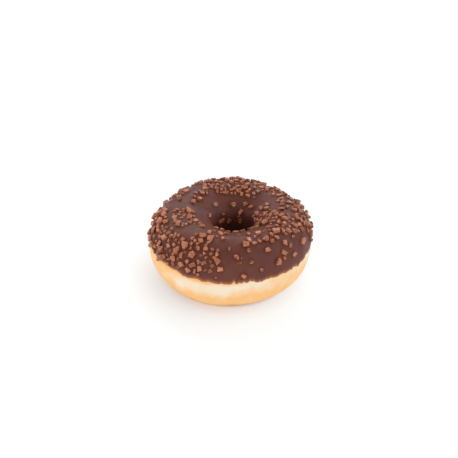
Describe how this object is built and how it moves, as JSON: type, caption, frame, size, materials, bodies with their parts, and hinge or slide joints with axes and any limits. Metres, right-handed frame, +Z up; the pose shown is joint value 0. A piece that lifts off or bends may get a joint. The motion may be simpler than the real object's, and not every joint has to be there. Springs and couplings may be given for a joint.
{
  "type": "chocolate doughnut",
  "caption": "Ring doughnut of golden dough with a central hole, its upper half dipped in dark chocolate icing and strewn with milk chocolate flakes.",
  "frame": {"origin": "on the surface that the doughnut stands on, under the middle of its outline", "axes": "+Z up through the hole, from the flat foot to the iced crown; -Y towards the side that the picture shows in front"},
  "size_m": [0.0871, 0.086, 0.041],
  "materials": {
    "dough": "soft matte golden crust of fried dough, paler and creamier in a band under the icing",
    "icing": "set dark chocolate icing with a satin sheen, its flakes a lighter, warmer milk chocolate brown"
  },
  "bodies": {
    "root": {"dough": "dough", "icing": "icing"}
  },
  "joints": []
}
